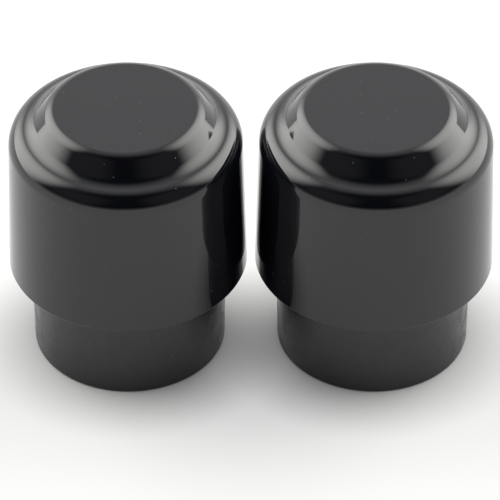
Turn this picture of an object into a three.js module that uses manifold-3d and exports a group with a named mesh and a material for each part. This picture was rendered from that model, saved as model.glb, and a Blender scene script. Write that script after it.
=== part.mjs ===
// A pair of push-on tips for the lever of a blade-type selector switch, standing side by side.
// Millimetres, +Z up. Each tip stands on the end of its stem at z = 0, and the pair is centred on
// the origin, with the tips side by side along X.
//
// A tip is one solid moulding. Its barrel is widest at the rim and tapers a little towards a stepped
// crown. A narrower stem stands out below the barrel, and a blind slot runs up through the stem's
// end into the barrel. The switch's flat lever is pushed into that slot, where small crush ribs
// grip it.

import * as THREE from "three";
import { mergeVertices, toCreasedNormals } from "three/addons/utils/BufferGeometryUtils.js";
import Module from "manifold-3d";

// ---------------------------------------------------------------- driving dimensions (mm, degrees)

const TIP_HEIGHT = 15.25;
const TIP_GAP = 0.4; // air between the two rims

const RIM_RADIUS = 6.35; // half of the 12.7 mm (half inch) barrel
const RIM_EDGE_RADIUS = 0.12;
const BARREL_DRAFT = 1.6; // mould draft: the barrel narrows towards its crown

const TOP_FLAT_RADIUS = 3.7;
const TOP_EDGE_RADIUS = 0.38; // the flat's own edge, down to where it slackens into the roll
const TOP_EDGE_BREAK = 76.5;
const TOP_ROLL_RADIUS = 0.77;
const STEP_NORMAL = 38.7; // the step's wall faces out, and this far up
const COVE_RADIUS = 1.05; // the hollow curve between the step and the ledge
const LEDGE_NORMAL = 80.7; // the ledge at its flattest, nearly level
const SHOULDER_RADIUS = 0.86;
const SHOULDER_BREAK = 44.5; // where the shoulder slackens towards the barrel
const LOWER_SHOULDER_RADIUS = 1.22;

const STEM_HEIGHT = 5.3;
const STEM_FOOT_RADIUS = 5.13;
const STEM_ROOT_RADIUS = 5.17; // the stem narrows towards its foot, away from the parting line
const STEM_FOOT_EDGE_RADIUS = 0.13;
const STEM_ROOT_FILLET = 0.2;

const SLOT_LENGTH = 4.9;
const SLOT_WIDTH = 1.15;
const SLOT_DEPTH = 8;
const SLOT_CORNER_RADIUS = 0.15;
const SLOT_LEAD_IN = 0.35; // 45 degree chamfer round the mouth
const RIB_SPACING = 2.6; // between the two crush ribs on each long wall
const RIB_RADIUS = 0.22;
const RIB_HEIGHT = 0.09; // how far a rib stands out of the wall
const RIB_START = 1.1; // above the mouth

const TURN_SEGMENTS = 72; // facets round each tip
const FACET_DEPTH = 0.004; // how far a facet of the outline may lie off its arc
const CORNER_SEGMENTS = 3; // in each rounded corner of the slot
const RIB_SIDES = 16;
const OVERSHOOT = 1; // how far a cutter runs past the face that it opens
const CREASE = 30; // sharper edges than this shade as edges
const WELD = 1e-5; // corners closer than this are one corner

const PLASTIC = { color: 0x0b0c0e, roughness: 0.12, metalness: 0 };

const RIM_EDGE_TOP = STEM_HEIGHT + RIM_EDGE_RADIUS;

const rad = THREE.MathUtils.degToRad;

// ---------------------------------------------------------------- outline in the (radius, z) plane

// A path traced stretch by stretch. It keeps the surface's outward normal as an angle up from the
// horizontal, and it always runs clockwise round the solid, from the top down and outwards.
class Outline {
  constructor(r, z, normal) {
    this.points = [new THREE.Vector2(r, z)];
    this.normal = normal;
  }

  get end() {
    return this.points.at(-1);
  }

  // Straight to a point, from where the path goes on with the normal given.
  lineTo(r, z, normal = this.normal) {
    this.points.push(new THREE.Vector2(r, z));
    this.normal = normal;
  }

  line(length) {
    const a = rad(this.normal);
    this.lineTo(this.end.x + length * Math.sin(a), this.end.y - length * Math.cos(a));
  }

  // An arc from the present normal to another one: a falling normal bulges, a rising one hollows.
  bend(radius, normal) {
    const from = this.normal;
    const side = normal < from ? 1 : -1;
    const centre = {
      r: this.end.x - side * radius * Math.cos(rad(from)),
      z: this.end.y - side * radius * Math.sin(rad(from)),
    };
    const facet = 2 * THREE.MathUtils.radToDeg(Math.acos(1 - FACET_DEPTH / radius));
    const steps = Math.ceil(Math.abs(normal - from) / facet);
    for (let i = 1; i <= steps; i++) {
      const a = rad(from + ((normal - from) * i) / steps);
      this.lineTo(centre.r + side * radius * Math.cos(a), centre.z + side * radius * Math.sin(a));
    }
    this.normal = normal;
  }
}

// From the edge of the flat top down to where the shoulder runs into the barrel's wall.
function crown(stepLength) {
  const path = new Outline(TOP_FLAT_RADIUS, TIP_HEIGHT, 90);
  path.bend(TOP_EDGE_RADIUS, TOP_EDGE_BREAK);
  path.bend(TOP_ROLL_RADIUS, STEP_NORMAL);
  path.line(stepLength);
  path.bend(COVE_RADIUS, LEDGE_NORMAL);
  path.bend(SHOULDER_RADIUS, SHOULDER_BREAK);
  path.bend(LOWER_SHOULDER_RADIUS, BARREL_DRAFT);
  return path;
}

// The straight stretch of the step that ends the shoulder exactly on the barrel's drafted wall.
function stepLength() {
  const slope = Math.tan(rad(BARREL_DRAFT));
  const { x: r, y: z } = crown(0).end;
  const missing = RIM_RADIUS - (z - RIM_EDGE_TOP) * slope - r;
  return missing / (Math.sin(rad(STEP_NORMAL)) - Math.cos(rad(STEP_NORMAL)) * slope);
}

function tipOutline() {
  const path = crown(stepLength());
  path.points.unshift(new THREE.Vector2(0, TIP_HEIGHT));
  path.lineTo(RIM_RADIUS, RIM_EDGE_TOP, 0);
  path.bend(RIM_EDGE_RADIUS, -90);
  path.lineTo(STEM_ROOT_RADIUS + STEM_ROOT_FILLET, STEM_HEIGHT);
  path.bend(STEM_ROOT_FILLET, 0);
  path.lineTo(STEM_FOOT_RADIUS, STEM_FOOT_EDGE_RADIUS);
  path.bend(STEM_FOOT_EDGE_RADIUS, -90);
  path.lineTo(0, 0);
  return path.points;
}

// ---------------------------------------------------------------- solids

const wasm = await Module();
wasm.setup();

function toSolid(geometry) {
  const bare = geometry.clone();
  bare.deleteAttribute("normal");
  bare.deleteAttribute("uv");
  const merged = mergeVertices(bare, WELD);
  const corners = merged.index.array;
  const triVerts = [];
  for (let i = 0; i < corners.length; i += 3) {
    const [a, b, c] = corners.slice(i, i + 3);
    if (a !== b && b !== c && c !== a) triVerts.push(a, b, c);
  }
  const vertProperties = Float32Array.from(merged.attributes.position.array);
  return new wasm.Manifold(
    new wasm.Mesh({ numProp: 3, vertProperties, triVerts: Uint32Array.from(triVerts) }),
  );
}

function toGeometry(solid) {
  const mesh = solid.getMesh();
  const geometry = new THREE.BufferGeometry();
  geometry.setAttribute("position", new THREE.BufferAttribute(mesh.vertProperties, 3));
  geometry.setIndex(new THREE.BufferAttribute(mesh.triVerts, 1));
  return toCreasedNormals(geometry, rad(CREASE));
}

// The barrel, crown and stem in one turned shape about Z.
function turnedBody() {
  const outline = tipOutline().reverse();
  return toSolid(new THREE.LatheGeometry(outline, TURN_SEGMENTS).rotateX(Math.PI / 2));
}

// The slot's section: a rectangle with rounded corners, long along X.
function slotSection() {
  const x = SLOT_LENGTH / 2 - SLOT_CORNER_RADIUS;
  const y = SLOT_WIDTH / 2 - SLOT_CORNER_RADIUS;
  const section = new THREE.Shape();
  const corners = [[x, y], [-x, y], [-x, -y], [x, -y]];
  corners.forEach(([cx, cy], i) => {
    const start = (i * Math.PI) / 2;
    section.absarc(cx, cy, SLOT_CORNER_RADIUS, start, start + Math.PI / 2, false);
  });
  return section;
}

// Everything that the slot takes out of the turned body.
function slotCutter() {
  const section = slotSection();
  const plain = { depth: SLOT_DEPTH + OVERSHOOT, bevelEnabled: false, curveSegments: CORNER_SEGMENTS };
  const flared = {
    depth: OVERSHOOT,
    bevelThickness: SLOT_LEAD_IN,
    bevelSize: SLOT_LEAD_IN,
    bevelSegments: 1,
    curveSegments: CORNER_SEGMENTS,
  };
  let cutter = toSolid(new THREE.ExtrudeGeometry(section, plain).translate(0, 0, -OVERSHOOT));
  for (const x of [-RIB_SPACING / 2, RIB_SPACING / 2]) {
    for (const wall of [-SLOT_WIDTH / 2, SLOT_WIDTH / 2]) {
      cutter = cutter.subtract(crushRib(x, wall));
    }
  }
  const mouth = new THREE.ExtrudeGeometry(section, flared).translate(0, 0, -OVERSHOOT);
  return cutter.add(toSolid(mouth));
}

// A half-round rib on a long wall of the slot, from a little inside the mouth to past the floor.
function crushRib(x, wall) {
  const length = SLOT_DEPTH + OVERSHOOT - RIB_START;
  const y = wall + Math.sign(wall) * (RIB_RADIUS - RIB_HEIGHT);
  const rib = new THREE.CylinderGeometry(RIB_RADIUS, RIB_RADIUS, length, RIB_SIDES);
  return toSolid(rib.rotateX(Math.PI / 2).translate(x, y, RIB_START + length / 2));
}

// ---------------------------------------------------------------- the pair

function tip(name, x, geometry) {
  const mesh = new THREE.Mesh(geometry, new THREE.MeshStandardMaterial(PLASTIC));
  mesh.name = name;
  mesh.position.x = x;
  return mesh;
}

const tipSolid = turnedBody().subtract(slotCutter());
const tipGeometry = toGeometry(tipSolid);
const spacing = 2 * RIM_RADIUS + TIP_GAP;

const pair = new THREE.Group();
pair.add(tip("left_switch_tip", -spacing / 2, tipGeometry));
pair.add(tip("right_switch_tip", spacing / 2, tipGeometry));

export default pair;
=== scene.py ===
"""A pair of round push-on switch tips, moulded in black ABS, on a white studio table.

Laid out as a Blender add-on: property groups hold the sizes and finishes, one operator makes the
tips, one makes the studio, and a panel lists both. Lengths are in metres unless a name says
otherwise.
"""

from math import acos, ceil, cos, degrees, pi, radians, sin, tan

import bmesh
import bpy
from mathutils import Matrix, Vector


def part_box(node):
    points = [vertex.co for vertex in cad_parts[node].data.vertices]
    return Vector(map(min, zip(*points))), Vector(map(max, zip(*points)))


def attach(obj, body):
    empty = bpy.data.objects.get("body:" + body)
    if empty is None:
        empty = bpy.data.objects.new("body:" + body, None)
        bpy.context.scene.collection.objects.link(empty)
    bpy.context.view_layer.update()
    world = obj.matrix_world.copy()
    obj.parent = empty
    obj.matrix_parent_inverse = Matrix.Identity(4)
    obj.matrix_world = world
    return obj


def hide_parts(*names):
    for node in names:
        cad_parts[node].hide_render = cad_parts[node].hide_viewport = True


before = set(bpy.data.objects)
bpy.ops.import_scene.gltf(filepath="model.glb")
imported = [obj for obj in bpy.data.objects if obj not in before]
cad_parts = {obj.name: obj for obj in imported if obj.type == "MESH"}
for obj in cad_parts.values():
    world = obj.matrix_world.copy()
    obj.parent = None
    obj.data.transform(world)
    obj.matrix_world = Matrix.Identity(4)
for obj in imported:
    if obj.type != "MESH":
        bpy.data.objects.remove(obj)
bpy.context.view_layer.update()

bl_info = {
    "name": "Switch Tip Pair",
    "version": (1, 0, 0),
    "blender": (4, 5, 0),
    "location": "View3D > Sidebar > Switch Tips",
    "description": "Moulded black switch tips and the studio they stand in",
    "category": "Add Mesh",
}

MM = 0.001
TIPS = {"left_switch_tip": "left_tip", "right_switch_tip": "right_tip"}  # CAD node to CAD body
POLISHED, AS_MOULDED = 0, 1  # material indices on a tip
CORNER_STEPS = 6  # facets in each rounded corner of the slot
RIB_STEPS = 10  # facets across a crush rib
MARK_SIDES = 32
TABLE_HALF_SIDE = 1.5
MIX_A, MIX_B, MIX_RESULT = 6, 7, 2  # where a colour Mix node keeps its colour sockets
ABS_IOR = 1.54
BLACK_ABS = "0b0c11"
FABRIC_WHITE = "ffffff"
LAMP_WHITE = "fffefa"


# ------------------------------------------------------------------ outline in the (radius, z) plane


class Outline:
    """A turned outline, traced clockwise from the top down and outwards.

    Each point keeps the surface's exact outward normal, as an angle up from the horizontal.
    """

    def __init__(self, r, z, normal):
        self.points = [(r, z, normal)]

    @property
    def end(self):
        return self.points[-1]

    def line_to(self, r, z, normal=None):
        self.points.append((r, z, self.end[2] if normal is None else normal))

    def line(self, length):
        r, z, normal = self.end
        self.line_to(r + length * sin(radians(normal)), z - length * cos(radians(normal)))

    def bend(self, radius, normal, facet_depth):
        """An arc to another normal: a falling normal bulges, a rising one hollows."""
        r, z, start = self.end
        side = 1 if normal < start else -1
        centre_r = r - side * radius * cos(radians(start))
        centre_z = z - side * radius * sin(radians(start))
        facet = 2 * degrees(acos(1 - facet_depth / radius))
        steps = ceil(abs(normal - start) / facet)
        for i in range(1, steps + 1):
            here = start + (normal - start) * i / steps
            a = radians(here)
            self.line_to(centre_r + side * radius * cos(a), centre_z + side * radius * sin(a), here)


def crown(shape, height, step_length):
    """From the edge of the flat top down to where the shoulder runs into the barrel's wall."""
    path = Outline(shape.top_flat_radius, height, 90)
    path.bend(shape.top_edge_radius, degrees(shape.top_edge_break), shape.facet_depth)
    path.bend(shape.top_roll_radius, degrees(shape.step_normal), shape.facet_depth)
    path.line(step_length)
    path.bend(shape.cove_radius, degrees(shape.ledge_normal), shape.facet_depth)
    path.bend(shape.shoulder_radius, degrees(shape.shoulder_break), shape.facet_depth)
    path.bend(shape.lower_shoulder_radius, degrees(shape.barrel_draft), shape.facet_depth)
    return path


def step_length(shape, height, rim_radius, rim_z):
    """The straight stretch of the step that ends the shoulder on the barrel's drafted wall."""
    slope = tan(shape.barrel_draft)
    r, z, _ = crown(shape, height, 0).end
    missing = rim_radius - (z - rim_z) * slope - r
    return missing / (sin(shape.step_normal) - cos(shape.step_normal) * slope)


def barrel_outline(shape, height, rim_radius):
    """The polished part: the crown and the barrel, down to the foot of the rim's rounded edge."""
    rim_z = shape.stem_height + shape.rim_edge_radius
    path = crown(shape, height, step_length(shape, height, rim_radius, rim_z))
    path.line_to(rim_radius, rim_z, 0)
    path.bend(shape.rim_edge_radius, -90, shape.facet_depth)
    return path.points


def stem_outline(shape):
    """The part left as moulded: from the fillet at the stem's root to the edge of its end face."""
    path = Outline(shape.stem_root_radius + shape.stem_root_fillet, shape.stem_height, -90)
    path.bend(shape.stem_root_fillet, 0, shape.facet_depth)
    path.line_to(shape.stem_foot_radius, shape.stem_foot_edge_radius)
    path.bend(shape.stem_foot_edge_radius, -90, shape.facet_depth)
    return path.points


# ------------------------------------------------------------------ mesh


class Skin:
    """One closed mesh grown from loops of vertices. Turned vertices keep their exact normals."""

    def __init__(self, segments):
        self.bm = bmesh.new()
        self.segments = segments
        self.normals = []

    def loop(self, points, normals=None):
        verts = [self.bm.verts.new(p) for p in points]
        self.normals += normals or [(0, 0, 0)] * len(verts)  # a zero vector leaves it to Blender
        return verts

    def ring(self, r, z, normal):
        angles = [2 * pi * i / self.segments for i in range(self.segments)]
        flat, up = cos(radians(normal)), sin(radians(normal))
        points = [(r * cos(a), r * sin(a), z) for a in angles]
        return self.loop(points, [(flat * cos(a), flat * sin(a), up) for a in angles])

    def turn(self, outline, finish):
        """Turns an outline about Z and returns its first and last rings."""
        rings = [self.ring(*point) for point in outline]
        for upper, lower in zip(rings, rings[1:]):
            self.join(upper, lower, finish)
        return rings[0], rings[-1]

    def join(self, a, b, finish):
        for i in range(len(a)):
            j = (i + 1) % len(a)
            face = self.bm.faces.new((a[i], b[i], b[j], a[j]))
            face.material_index = finish

    def fill(self, loops, finish):
        """Fills the level region inside the first loop and outside the others."""
        edges = []
        for loop in loops:
            for a, b in zip(loop, loop[1:] + loop[:1]):
                edges.append(self.bm.edges.get((a, b)) or self.bm.edges.new((a, b)))
        made = bmesh.ops.triangle_fill(self.bm, edges=edges, use_beauty=True)
        for face in made["geom"]:
            if isinstance(face, bmesh.types.BMFace):
                face.material_index = finish

    def to_mesh(self, name, crease):
        bmesh.ops.recalc_face_normals(self.bm, faces=self.bm.faces)
        for face in self.bm.faces:
            face.smooth = True
        for edge in self.bm.edges:
            edge.smooth = edge.calc_face_angle(0) < crease
        mesh = bpy.data.meshes.new(name)
        self.bm.to_mesh(mesh)
        self.bm.free()
        mesh.normals_split_custom_set([self.normals[loop.vertex_index] for loop in mesh.loops])
        return mesh


def circle(y, z, radius):
    angles = [2 * pi * i / MARK_SIDES for i in range(MARK_SIDES)]
    return [(radius * cos(a), y + radius * sin(a), z) for a in angles]


def slot_section(shape, z, flare=0, rib_height=0):
    """The slot's section at one height: a rounded rectangle, with two ribs on each long wall."""
    radius = shape.slot_corner_radius
    half_length, half_width = shape.slot_length / 2, shape.slot_width / 2
    sunk = shape.rib_radius - shape.rib_height
    reach = (shape.rib_radius**2 - sunk**2) ** 0.5
    points = []
    for quarter in range(4):
        sx = (1, -1, -1, 1)[quarter]
        sy = (1, 1, -1, -1)[quarter]
        for i in range(CORNER_STEPS + 1):
            a = pi / 2 * (quarter + i / CORNER_STEPS)
            x = sx * (half_length - radius) + (radius + flare) * cos(a)
            y = sy * (half_width - radius) + (radius + flare) * sin(a)
            points.append((x, y, z))
        if quarter in (0, 2):
            for centre in (sx * shape.rib_spacing / 2, -sx * shape.rib_spacing / 2):
                for i in range(RIB_STEPS + 1):
                    t = 2 * i / RIB_STEPS - 1
                    bulge = ((shape.rib_radius**2 - (reach * t) ** 2) ** 0.5 - sunk) / shape.rib_height
                    y = sy * (half_width + flare - rib_height * bulge)
                    points.append((centre - sx * reach * t, y, z))
    return points


def add_slot(skin, shape):
    """The blind slot, from its flared mouth up to its floor. Returns the loop round the mouth."""
    levels = [
        (0, shape.slot_lead_in, 0),
        (shape.slot_lead_in, 0, 0),
        (shape.rib_start, 0, 0),
        (shape.rib_start + shape.rib_ramp, 0, shape.rib_height),
        (shape.slot_depth, 0, shape.rib_height),
    ]
    loops = [skin.loop(slot_section(shape, *level)) for level in levels]
    for lower, upper in zip(loops, loops[1:]):
        skin.join(lower, upper, AS_MOULDED)
    skin.fill([loops[-1]], AS_MOULDED)
    return loops[0]


def add_mark(skin, y, z, radius, height):
    """A small round mark on a level face that looks down: an ejector pin's dent or a gate's stub."""
    foot = skin.loop(circle(y, z, radius))
    top = skin.loop(circle(y, z + height, radius - abs(height) / 2))
    skin.join(foot, top, AS_MOULDED)
    skin.fill([top], AS_MOULDED)
    return foot


def tip_mesh(name, shape, height, rim_radius):
    skin = Skin(shape.turn_segments)
    top, rim = skin.turn(barrel_outline(shape, height, rim_radius), POLISHED)
    root, foot = skin.turn(stem_outline(shape), AS_MOULDED)
    skin.fill([top], POLISHED)

    ledge_middle = (shape.stem_root_radius + rim_radius) / 2
    gate = add_mark(skin, ledge_middle, shape.stem_height, shape.gate_radius, -shape.gate_height)
    skin.fill([rim, root, gate], AS_MOULDED)

    mouth = add_slot(skin, shape)
    pins = [
        add_mark(skin, side * shape.ejector_spacing / 2, 0, shape.ejector_radius, shape.ejector_depth)
        for side in (-1, 1)
    ]
    skin.fill([foot, mouth, *pins], AS_MOULDED)
    return skin.to_mesh(name, shape.crease)


# ------------------------------------------------------------------ materials


def srgb(code):
    """A hex colour such as "2b2b2d" as linear red, green, blue and alpha."""
    values = [int(code[i : i + 2], 16) / 255 for i in (0, 2, 4)]
    linear = [v / 12.92 if v <= 0.04045 else ((v + 0.055) / 1.055) ** 2.4 for v in values]
    return (*linear, 1)


def add_node(tree, kind, inputs=None, **settings):
    """Adds a node. A value sets that input, and an output socket is linked to it."""
    node = tree.nodes.new(kind)
    for key, value in settings.items():
        setattr(node, key, value)
    for key, value in (inputs or {}).items():
        if isinstance(value, bpy.types.NodeSocket):
            tree.links.new(value, node.inputs[key])
        else:
            node.inputs[key].default_value = value
    return node


def new_material(name):
    material = bpy.data.materials.new(name)
    material.use_nodes = True
    material.node_tree.nodes.clear()
    return material, material.node_tree


def specks(tree, place, spacing, largest, offset):
    """A mask of round specks of uneven size, one somewhere in each cell of a grid in space.

    Spacing is a cell's size and largest is the biggest radius. Only the few specks whose cells the
    surface cuts near their middle show. Offset moves the grid, so that two masks don't coincide.
    """
    shifted = add_node(tree, "ShaderNodeVectorMath", {0: place, 1: [offset] * 3}, operation="ADD")
    cells = add_node(
        tree,
        "ShaderNodeTexVoronoi",
        {"Vector": shifted.outputs["Vector"], "Scale": 1 / spacing, "Randomness": 1},
    )
    channels = add_node(tree, "ShaderNodeSeparateColor", {"Color": cells.outputs["Color"]})
    radius = add_node(
        tree,
        "ShaderNodeMapRange",
        {
            "Value": channels.outputs["Red"],
            "From Min": 0.3,  # three cells in ten stay empty
            "From Max": 1,
            "To Min": 0,
            "To Max": largest / spacing,
        },
    )
    inside = add_node(
        tree,
        "ShaderNodeMath",
        {0: radius.outputs["Result"], 1: cells.outputs["Distance"]},
        operation="GREATER_THAN",
    )
    return inside.outputs["Value"]


def polished_abs(finish):
    """ABS, injection-moulded and then buffed: a near mirror over a black body colour.

    The slow waves bend long reflections a little, and the haze varies how soft they are. The buffing
    lines are too fine to make out except close up. The specks are dust.
    """
    material, tree = new_material("black_abs_moulded_and_buffed")
    place = add_node(tree, "ShaderNodeTexCoord").outputs["Object"]

    # Waves about 2 mm long, and under them lines about 0.05 mm apart. The lines run round the tip on
    # its walls, because the pattern is drawn out ten times along X and Y, so the level top has none.
    wave = add_node(
        tree, "ShaderNodeTexNoise", {"Vector": place, "Scale": 1 / finish.wave_length, "Detail": 1}
    )
    waves = add_node(
        tree, "ShaderNodeBump", {"Height": wave.outputs["Fac"], "Distance": finish.waviness, "Strength": 1}
    )
    along = add_node(tree, "ShaderNodeMapping", {"Vector": place, "Scale": (0.1, 0.1, 1)})
    line = add_node(
        tree,
        "ShaderNodeTexNoise",
        {"Vector": along.outputs["Vector"], "Scale": 1 / finish.buffing_pitch, "Detail": 2},
    )
    lines = add_node(
        tree,
        "ShaderNodeBump",
        {
            "Height": line.outputs["Fac"],
            "Distance": finish.buffing_depth,
            "Strength": 1,
            "Normal": waves.outputs["Normal"],
        },
    )
    # Haze: patches about 1.5 mm across where the buffing left the skin a little duller.
    patch = add_node(
        tree, "ShaderNodeTexNoise", {"Vector": place, "Scale": 1 / finish.haze_size, "Detail": 4}
    )
    haze = add_node(
        tree,
        "ShaderNodeMapRange",
        {
            "Value": patch.outputs["Fac"],
            "From Min": 0.3,
            "From Max": 0.7,
            "To Min": finish.polished_roughness * 0.7,
            "To Max": finish.polished_roughness * 1.3,
        },
    )
    # Dust: dull grey specks up to 0.04 mm in radius.
    dust = specks(tree, place, finish.polished_dust_spacing, finish.dust_size, 0)
    colour = add_node(
        tree, "ShaderNodeMix", {0: dust, MIX_A: srgb(BLACK_ABS), MIX_B: srgb("4c4d50")}, data_type="RGBA"
    )
    roughness = add_node(
        tree,
        "ShaderNodeMapRange",
        {"Value": dust, "To Min": haze.outputs["Result"], "To Max": finish.dust_roughness},
    )
    shader = add_node(
        tree,
        "ShaderNodeBsdfPrincipled",
        {
            "Base Color": colour.outputs[MIX_RESULT],
            "Roughness": roughness.outputs["Result"],
            "IOR": ABS_IOR,
            "Normal": lines.outputs["Normal"],
        },
    )
    add_node(tree, "ShaderNodeOutputMaterial", {"Surface": shader.outputs["BSDF"]})
    return material


def moulded_abs(finish):
    """ABS straight from a spark-eroded mould: the same black under a fine, even, satin grain.

    The grain spreads reflections, its uneven depth makes the satin cloudy, and dust settles in it.
    """
    material, tree = new_material("black_abs_as_moulded")
    place = add_node(tree, "ShaderNodeTexCoord").outputs["Object"]

    # Spark erosion leaves craters about 0.05 mm across. They are drawn 0.08 mm across, so that they
    # are wide enough to show.
    crater = add_node(
        tree, "ShaderNodeTexVoronoi", {"Vector": place, "Scale": 1 / finish.grain_size}, feature="SMOOTH_F1"
    )
    grain = add_node(
        tree,
        "ShaderNodeBump",
        {"Height": crater.outputs["Distance"], "Distance": finish.grain_depth, "Strength": 1},
    )
    cloud = add_node(
        tree, "ShaderNodeTexNoise", {"Vector": place, "Scale": 1 / finish.cloud_size, "Detail": 5}
    )
    satin = add_node(
        tree,
        "ShaderNodeMapRange",
        {
            "Value": cloud.outputs["Fac"],
            "From Min": 0.3,
            "From Max": 0.7,
            "To Min": finish.moulded_roughness * 0.6,
            "To Max": finish.moulded_roughness * 1.4,
        },
    )
    dust = specks(tree, place, finish.moulded_dust_spacing, finish.dust_size, 0.37)
    colour = add_node(
        tree, "ShaderNodeMix", {0: dust, MIX_A: srgb(BLACK_ABS), MIX_B: srgb("3c3d40")}, data_type="RGBA"
    )
    shader = add_node(
        tree,
        "ShaderNodeBsdfPrincipled",
        {
            "Base Color": colour.outputs[MIX_RESULT],
            "Roughness": satin.outputs["Result"],
            "IOR": ABS_IOR,
            "Normal": grain.outputs["Normal"],
        },
    )
    add_node(tree, "ShaderNodeOutputMaterial", {"Surface": shader.outputs["BSDF"]})
    return material


def acrylic_with_painted_shadow(studio):
    """Opal acrylic sheet, matt, glowing evenly as if lit softly from below: a white table with a pale painted
    contact shadow.

    Close to a tip its glow is dimmed by the square of the ambient occlusion there, which paints the contact
    shadow into the glow.
    """
    material, tree = new_material("opal_acrylic_matt_sheet")
    # Painted contact shadow: ambient occlusion, squared, dims the table's glow near each tip.
    openness_for_painted_shadow = add_node(tree, "ShaderNodeAmbientOcclusion", {"Distance": studio.painted_shadow_reach})
    glow = add_node(tree, "ShaderNodeMath", {0: openness_for_painted_shadow.outputs["AO"], 1: 2}, operation="POWER")
    shader = add_node(
        tree,
        "ShaderNodeBsdfPrincipled",
        {
            "Base Color": srgb("a8a8a8"),
            "Roughness": 1,
            "Specular IOR Level": 0,
            "Emission Color": glow.outputs["Value"],
            "Emission Strength": studio.table_light,
        },
    )
    add_node(tree, "ShaderNodeOutputMaterial", {"Surface": shader.outputs["BSDF"]})
    return material


# ------------------------------------------------------------------ light


def direction(azimuth, elevation):
    """A unit vector: azimuth 0 is behind the tips, 90 to their right, and elevation is up."""
    return Vector((sin(azimuth) * cos(elevation), cos(azimuth) * cos(elevation), sin(elevation)))


def light_tent(studio):
    """A white fabric tent with a dark open front, and a lamp shining through each side wall.

    Each layer adds to the ones before it. It is an axis, the angle in degrees from that axis at which
    the layer begins, the angle within which it is at full strength, that strength, and its colour.
    """
    world = bpy.data.worlds.new("light_tent")
    world.use_nodes = True
    tree = world.node_tree
    tree.nodes.clear()
    back, down = direction(0, 0), direction(0, -pi / 2)
    lamps = [direction(side * studio.lamp_azimuth, studio.lamp_elevation) for side in (-1, 1)]
    flanks = [direction(side * studio.flank_azimuth, studio.flank_elevation) for side in (-1, 1)]
    layers = [
        (back, 109, 71, studio.roof_light, FABRIC_WHITE),
        (back, 76, 50, studio.wall_light, FABRIC_WHITE),
        (direction(0, studio.low_elevation), 37, 21, studio.low_light, FABRIC_WHITE),
        (down, 102, 90, studio.horizon_light, FABRIC_WHITE),
    ]
    layers += [(flank, 36, 4, studio.flank_light, FABRIC_WHITE) for flank in flanks]
    layers += [(lamp, 41, 25, studio.lamp_light, LAMP_WHITE) for lamp in lamps]
    layers += [(lamp, 33, 3, studio.hot_spot_light, LAMP_WHITE) for lamp in lamps]

    ray = add_node(tree, "ShaderNodeTexCoord").outputs["Generated"]
    light = [studio.opening_light] * 3
    for axis, edge, core, strength, colour in layers:
        toward = add_node(tree, "ShaderNodeVectorMath", {0: ray, 1: axis}, operation="DOT_PRODUCT")
        fade = add_node(
            tree,
            "ShaderNodeMapRange",
            {
                "Value": toward.outputs["Value"],
                "From Min": cos(radians(edge)),
                "From Max": cos(radians(core)),
            },
            interpolation_type="SMOOTHSTEP",
        )
        layer = [strength * channel for channel in srgb(colour)[:3]]
        total = add_node(
            tree,
            "ShaderNodeVectorMath",
            {0: fade.outputs["Result"], 1: layer, 2: light},
            operation="MULTIPLY_ADD",
        )
        light = total.outputs["Vector"]
    tent = add_node(tree, "ShaderNodeBackground", {"Color": light})
    backdrop = add_node(tree, "ShaderNodeBackground", {"Color": srgb(FABRIC_WHITE)})
    seen = add_node(tree, "ShaderNodeLightPath").outputs["Is Camera Ray"]
    mixed = add_node(
        tree,
        "ShaderNodeMixShader",
        {0: seen, 1: tent.outputs["Background"], 2: backdrop.outputs["Background"]},
    )
    add_node(tree, "ShaderNodeOutputWorld", {"Surface": mixed.outputs["Shader"]})
    return world


# ------------------------------------------------------------------ properties


def length(name, description, millimetres):
    return bpy.props.FloatProperty(
        name=name, description=description, default=millimetres * MM, min=0, precision=5, unit="LENGTH"
    )


def number(name, description, value):
    return bpy.props.FloatProperty(name=name, description=description, default=value, min=0)


def angle(name, description, value):
    return bpy.props.FloatProperty(
        name=name, description=description, default=radians(value), subtype="ANGLE"
    )


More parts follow.
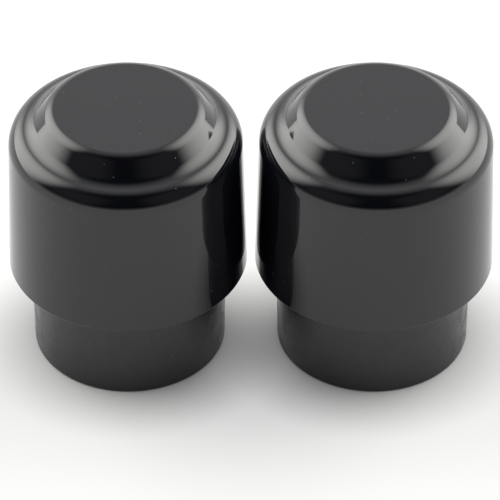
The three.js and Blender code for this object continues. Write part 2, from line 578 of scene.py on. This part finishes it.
class TipShape(bpy.types.PropertyGroup):
    top_flat_radius: length("Flat top radius", "Radius of the flat on the crown", 3.7)
    top_edge_radius: length("Top edge radius", "Rounding of the flat's own edge", 0.38)
    top_edge_break: angle("Top edge break", "How far up the edge faces where its rounding slackens", 76.5)
    top_roll_radius: length("Top roll radius", "Slacker rounding from the break down to the step", 0.77)
    step_normal: angle("Step normal", "How far up the step's wall faces", 38.7)
    cove_radius: length("Cove radius", "Hollow curve between the step and the ledge", 1.05)
    ledge_normal: angle("Ledge normal", "How far up the ledge faces at its flattest", 80.7)
    shoulder_radius: length("Shoulder radius", "Rounding from the ledge down to the break", 0.86)
    shoulder_break: angle("Shoulder break", "How far up the shoulder faces where its rounding slackens", 44.5)
    lower_shoulder_radius: length("Lower shoulder radius", "Rounding from the break into the barrel", 1.22)
    barrel_draft: angle("Barrel draft", "Taper of the barrel towards its crown", 1.6)
    rim_edge_radius: length("Rim edge radius", "Rounding at the foot of the barrel", 0.12)
    stem_height: length("Stem height", "From the end of the stem to the barrel's underside", 5.3)
    stem_root_radius: length("Stem root radius", "Radius of the stem at the barrel", 5.17)
    stem_foot_radius: length("Stem foot radius", "Radius of the stem at its end", 5.13)
    stem_foot_edge_radius: length("Stem edge radius", "Rounding at the end of the stem", 0.13)
    stem_root_fillet: length("Stem root fillet", "Hollow where the stem meets the barrel", 0.2)
    slot_length: length("Slot length", "Long side of the lever slot", 4.9)
    slot_width: length("Slot width", "Short side of the lever slot", 1.15)
    slot_depth: length("Slot depth", "From the end of the stem to the slot's floor", 8)
    slot_corner_radius: length("Slot corner radius", "Rounding of the slot's corners", 0.15)
    slot_lead_in: length("Slot lead-in", "Chamfer round the slot's mouth", 0.35)
    rib_spacing: length("Rib spacing", "Between the crush ribs on one wall", 2.6)
    rib_radius: length("Rib radius", "Radius of a crush rib's back", 0.22)
    rib_height: length("Rib height", "How far a crush rib stands out", 0.09)
    rib_start: length("Rib start", "Where the ribs begin above the mouth", 1.1)
    rib_ramp: length("Rib ramp", "Height over which a rib rises from the wall", 0.4)
    ejector_spacing: length("Ejector mark spacing", "Between the two ejector pin marks", 6)
    ejector_radius: length("Ejector mark radius", "Radius of an ejector pin mark", 0.8)
    ejector_depth: length("Ejector mark depth", "How deep the pins stood in the plastic", 0.04)
    gate_radius: length("Gate radius", "Radius of the broken-off gate", 0.3)
    gate_height: length("Gate height", "Height of the gate's stub", 0.06)
    facet_depth: length("Facet depth", "How far a facet may lie off its arc", 0.0004)
    turn_segments: bpy.props.IntProperty(
        name="Segments", description="Facets round each tip", default=288, min=24
    )
    crease: angle("Crease", "Sharper edges than this shade as edges", 30)


class PlasticFinish(bpy.types.PropertyGroup):
    polished_roughness: bpy.props.FloatProperty(
        name="Polished roughness", description="Of the barrel", default=0.05, subtype="FACTOR"
    )
    moulded_roughness: bpy.props.FloatProperty(
        name="Moulded roughness", description="Of the stem", default=0.28, subtype="FACTOR"
    )
    waviness: length("Waviness", "Height of the slow waves that buffing leaves", 0.003)
    wave_length: length("Wave length", "From one slow wave to the next", 2)
    haze_size: length("Haze size", "Width of a duller patch on the barrel", 1.5)
    cloud_size: length("Cloud size", "Width of a duller patch on the stem", 0.8)
    buffing_pitch: length("Buffing pitch", "Spacing of the fine lines that buffing leaves", 0.05)
    buffing_depth: length("Buffing depth", "Depth of the buffing lines", 0.00003)
    grain_size: length("Grain size", "Width of a crater in the moulded skin", 0.08)
    grain_depth: length("Grain depth", "Depth of the craters in the moulded skin", 0.006)
    dust_size: length("Dust size", "Radius of the largest specks of dust", 0.04)
    polished_dust_spacing: length("Dust spacing, barrel", "Size of a cell with a speck", 0.45)
    moulded_dust_spacing: length("Dust spacing, stem", "Size of a cell with a speck", 0.4)
    dust_roughness: bpy.props.FloatProperty(
        name="Dust roughness", description="Of the specks of dust", default=0.6, subtype="FACTOR"
    )


class Studio(bpy.types.PropertyGroup):
    elevation: angle("Camera elevation", "Of the camera above the table", 40)
    distance: length("Camera distance", "From the camera to its target", 225)
    target_height: length("Target height", "Of the camera's target above the table", 5.6)
    picture_width: length("Picture width", "What the camera sees across at its target", 26.71)
    shift: bpy.props.FloatProperty(
        name="Shift", description="Sideways shift of the lens", default=-0.00194
    )
    table_light: number("Table light", "Glow of the lit table away from the tips", 0.52)
    # Reach of the painted contact shadow, the ambient occlusion that dims the table's glow round a tip.
    painted_shadow_reach: length("Contact reach", "How far the table's glow is dimmed round a tip", 4)
    opening_light: number("Opening light", "Brightness of the tent's open front", 0.018)
    roof_light: number("Roof light", "Brightness of the tent's roof", 0.8)
    wall_light: number("Wall light", "Added by the tent's back wall", 0.24)
    low_light: number("Low light", "Added low on the back wall", 0.25)
    horizon_light: number("Horizon light", "Added where the table runs into the tent", 0.57)
    low_elevation: angle("Low light elevation", "Of the middle of the low light on the back wall", 3)
    flank_azimuth: angle("Flank azimuth", "Of the light at each side of the front, from behind", 130)
    flank_elevation: angle("Flank elevation", "Of the light at each side of the front", 31)
    flank_light: number("Flank light", "Added at both sides of the open front", 0.14)
    lamp_azimuth: angle("Lamp azimuth", "Of both lamps, from straight behind the tips", 62.5)
    lamp_elevation: angle("Lamp elevation", "Of both lamps above the table", 29)
    lamp_light: number("Lamp light", "Added across each lamp's diffuser", 2.4)
    hot_spot_light: number("Hot spot light", "Added in the middle of each diffuser", 2.1)


# ------------------------------------------------------------------ operators


class MakeTips(bpy.types.Operator):
    """Make both switch tips"""

    bl_idname = "switch_tips.make_tips"
    bl_label = "Switch Tips"

    def execute(self, context):
        shape, finish = context.scene.tip_shape, context.scene.plastic_finish
        materials = [polished_abs(finish), moulded_abs(finish)]
        for turn, (node, body) in enumerate(TIPS.items()):
            low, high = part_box(node)
            rim_radius = (high.x - low.x) / 2
            name = node + "_moulding"
            mesh = tip_mesh(name, shape, high.z, rim_radius)
            for material in materials:
                mesh.materials.append(material)
            tip = bpy.data.objects.new(name, mesh)
            context.scene.collection.objects.link(tip)
            place = Matrix.Translation(((low.x + high.x) / 2, 0, 0))
            tip.matrix_world = place @ Matrix.Rotation(pi * turn, 4, "Z")
            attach(tip, body)
            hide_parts(node)
        return {"FINISHED"}


class MakeStudio(bpy.types.Operator):
    """Make the table, the lights and the camera"""

    bl_idname = "switch_tips.make_studio"
    bl_label = "Studio"

    def execute(self, context):
        studio = context.scene.studio
        x = y = TABLE_HALF_SIDE
        floor_mesh = bpy.data.meshes.new("table_top")
        floor_mesh.from_pydata([(-x, -y, 0), (x, -y, 0), (x, y, 0), (-x, y, 0)], [], [(0, 1, 2, 3)])
        floor_mesh.materials.append(acrylic_with_painted_shadow(studio))
        floor = bpy.data.objects.new("table_top", floor_mesh)
        context.scene.collection.objects.link(floor)

        context.scene.world = light_tent(studio)

        camera_data = bpy.data.cameras.new("camera")
        camera_data.lens = camera_data.sensor_width * studio.distance / studio.picture_width
        camera_data.shift_x = studio.shift
        camera = bpy.data.objects.new("camera", camera_data)
        context.scene.collection.objects.link(camera)
        back = Vector((0, -cos(studio.elevation), sin(studio.elevation)))
        camera.location = Vector((0, 0, studio.target_height)) + back * studio.distance
        camera.rotation_euler = (-back).to_track_quat("-Z", "Y").to_euler()
        context.scene.camera = camera
        context.scene.view_settings.view_transform = "Standard"
        return {"FINISHED"}


OPERATORS = (MakeTips, MakeStudio)
GROUPS = {"tip_shape": TipShape, "plastic_finish": PlasticFinish, "studio": Studio}


class SwitchTipsPanel(bpy.types.Panel):
    """Lists the operators and their settings"""

    bl_idname = "VIEW3D_PT_switch_tips"
    bl_label = "Switch Tips"
    bl_space_type = "VIEW_3D"
    bl_region_type = "UI"
    bl_category = "Switch Tips"

    def draw(self, context):
        for operator in OPERATORS:
            self.layout.operator(operator.bl_idname)
        for name, group in GROUPS.items():
            box = self.layout.box()
            for key in group.__annotations__:
                box.prop(getattr(context.scene, name), key)


def register():
    for cls in (*GROUPS.values(), *OPERATORS, SwitchTipsPanel):
        bpy.utils.register_class(cls)
    for name, group in GROUPS.items():
        setattr(bpy.types.Scene, name, bpy.props.PointerProperty(type=group))


def unregister():
    for name in GROUPS:
        delattr(bpy.types.Scene, name)
    for cls in (SwitchTipsPanel, *OPERATORS, *GROUPS.values()):
        bpy.utils.unregister_class(cls)


def main():
    register()
    bpy.ops.switch_tips.make_tips()
    bpy.ops.switch_tips.make_studio()


if __name__ == "__main__":
    main()
